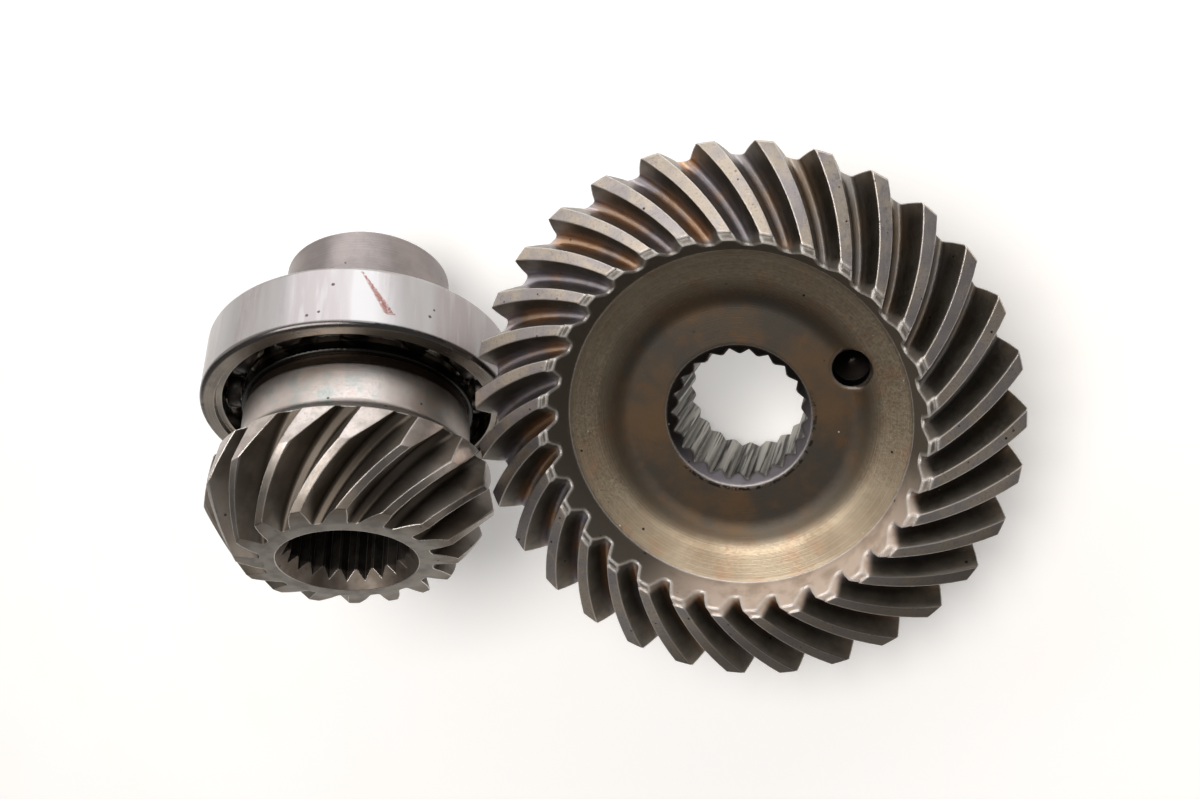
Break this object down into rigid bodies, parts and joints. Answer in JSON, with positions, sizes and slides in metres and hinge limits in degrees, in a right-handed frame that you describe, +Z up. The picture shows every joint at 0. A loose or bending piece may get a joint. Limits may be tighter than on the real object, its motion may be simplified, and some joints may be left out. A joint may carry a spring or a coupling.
{
  "type": "spiral bevel gear pair",
  "caption": "Spiral bevel ring gear and its pinion, both with serrated bores, lying side by side out of mesh; the pinion carries an open ball bearing and a hollow stub.",
  "frame": {"origin": "on the table, under the middle of the whole set's box", "axes": "+Z up from the table, -Y the way the pinion's toe points over the table, +X from the pinion towards the ring gear"},
  "size_m": [0.1684, 0.1232, 0.0744],
  "materials": {
    "ring_gear_steel": "oiled, heat-tinted case-hardened steel, turned web",
    "pinion_steel": "ground and lapped case-hardened steel, oily in the tooth spaces",
    "bearing_steel": "ground bearing steel, lightly stained",
    "ball_steel": "polished",
    "cage_sheet": "dark oiled pressed sheet",
    "cage_rivets": "dull"
  },
  "bodies": {
    "pinion": {"pinion_gear": "pinion_steel", "bearing_inner_ring": "bearing_steel"},
    "outer_ring": {"bearing_outer_ring": "bearing_steel"},
    "cage": {"bearing_cage_front": "cage_sheet", "bearing_cage_back": "cage_sheet", "bearing_rivet_01": "cage_rivets", "bearing_rivet_02": "cage_rivets", "bearing_rivet_03": "cage_rivets", "bearing_rivet_04": "cage_rivets", "bearing_rivet_05": "cage_rivets", "bearing_rivet_06": "cage_rivets", "bearing_rivet_07": "cage_rivets", "bearing_rivet_08": "cage_rivets", "bearing_rivet_09": "cage_rivets", "bearing_rivet_10": "cage_rivets", "bearing_rivet_11": "cage_rivets", "bearing_rivet_12": "cage_rivets"},
    "ring_gear": {"ring_gear": "ring_gear_steel"},
    "ball_01": {"bearing_ball_01": "ball_steel"},
    "ball_02": {"bearing_ball_02": "ball_steel"},
    "ball_03": {"bearing_ball_03": "ball_steel"},
    "ball_04": {"bearing_ball_04": "ball_steel"},
    "ball_05": {"bearing_ball_05": "ball_steel"},
    "ball_06": {"bearing_ball_06": "ball_steel"},
    "ball_07": {"bearing_ball_07": "ball_steel"},
    "ball_08": {"bearing_ball_08": "ball_steel"},
    "ball_09": {"bearing_ball_09": "ball_steel"},
    "ball_10": {"bearing_ball_10": "ball_steel"},
    "ball_11": {"bearing_ball_11": "ball_steel"},
    "ball_12": {"bearing_ball_12": "ball_steel"}
  },
  "joints": [
    {"name": "outer_ring_spin", "type": "hinge", "parent": "pinion", "child": "outer_ring", "pos_m": [-0.05022, 0.02576, 0.03223], "axis": [0, -0.8393, 0.5437], "continuous": true},
    {"name": "cage_orbit", "type": "hinge", "parent": "pinion", "child": "cage", "pos_m": [-0.05022, 0.02576, 0.03223], "axis": [0, -0.8393, 0.5437], "continuous": true},
    {"name": "ball_01_roll", "type": "hinge", "parent": "cage", "child": "ball_01", "pos_m": [-0.0251, 0.03114, 0.04054], "axis": [0, -0.8393, 0.5437], "continuous": true},
    {"name": "ball_02_roll", "type": "hinge", "parent": "cage", "child": "ball_02", "pos_m": [-0.03341, 0.03725, 0.04996], "axis": [0, -0.8393, 0.5437], "continuous": true},
    {"name": "ball_03_roll", "type": "hinge", "parent": "cage", "child": "ball_03", "pos_m": [-0.04623, 0.04028, 0.05464], "axis": [0, -0.8393, 0.5437], "continuous": true},
    {"name": "ball_04_roll", "type": "hinge", "parent": "cage", "child": "ball_04", "pos_m": [-0.06012, 0.03942, 0.05331], "axis": [0, -0.8393, 0.5437], "continuous": true},
    {"name": "ball_05_roll", "type": "hinge", "parent": "cage", "child": "ball_05", "pos_m": [-0.07135, 0.0349, 0.04634], "axis": [0, -0.8393, 0.5437], "continuous": true},
    {"name": "ball_06_roll", "type": "hinge", "parent": "cage", "child": "ball_06", "pos_m": [-0.07692, 0.02793, 0.03558], "axis": [0, -0.8393, 0.5437], "continuous": true},
    {"name": "ball_07_roll", "type": "hinge", "parent": "cage", "child": "ball_07", "pos_m": [-0.07534, 0.02038, 0.02392], "axis": [0, -0.8393, 0.5437], "continuous": true},
    {"name": "ball_08_roll", "type": "hinge", "parent": "cage", "child": "ball_08", "pos_m": [-0.06703, 0.01427, 0.0145], "axis": [0, -0.8393, 0.5437], "continuous": true},
    {"name": "ball_09_roll", "type": "hinge", "parent": "cage", "child": "ball_09", "pos_m": [-0.05421, 0.01124, 0.00982], "axis": [0, -0.8393, 0.5437], "continuous": true},
    {"name": "ball_10_roll", "type": "hinge", "parent": "cage", "child": "ball_10", "pos_m": [-0.04032, 0.0121, 0.01115], "axis": [0, -0.8393, 0.5437], "continuous": true},
    {"name": "ball_11_roll", "type": "hinge", "parent": "cage", "child": "ball_11", "pos_m": [-0.02909, 0.01662, 0.01812], "axis": [0, -0.8393, 0.5437], "continuous": true},
    {"name": "ball_12_roll", "type": "hinge", "parent": "cage", "child": "ball_12", "pos_m": [-0.02352, 0.02359, 0.02888], "axis": [0, -0.8393, 0.5437], "continuous": true},
    {"name": "ring_gear_lift", "type": "slide", "parent": "pinion", "child": "ring_gear", "axis": [0.7071, 0, 0.7071], "range_m": [0, 0.06]}
  ],
  "couplings": [
    {"joint": "cage_orbit", "follows": "outer_ring_spin", "ratio": 0.5735},
    {"joint": "ball_01_roll", "follows": "outer_ring_spin", "ratio": 3.3279},
    {"joint": "ball_02_roll", "follows": "outer_ring_spin", "ratio": 3.3279},
    {"joint": "ball_03_roll", "follows": "outer_ring_spin", "ratio": 3.3279},
    {"joint": "ball_04_roll", "follows": "outer_ring_spin", "ratio": 3.3279},
    {"joint": "ball_05_roll", "follows": "outer_ring_spin", "ratio": 3.3279},
    {"joint": "ball_06_roll", "follows": "outer_ring_spin", "ratio": 3.3279},
    {"joint": "ball_07_roll", "follows": "outer_ring_spin", "ratio": 3.3279},
    {"joint": "ball_08_roll", "follows": "outer_ring_spin", "ratio": 3.3279},
    {"joint": "ball_09_roll", "follows": "outer_ring_spin", "ratio": 3.3279},
    {"joint": "ball_10_roll", "follows": "outer_ring_spin", "ratio": 3.3279},
    {"joint": "ball_11_roll", "follows": "outer_ring_spin", "ratio": 3.3279},
    {"joint": "ball_12_roll", "follows": "outer_ring_spin", "ratio": 3.3279}
  ]
}
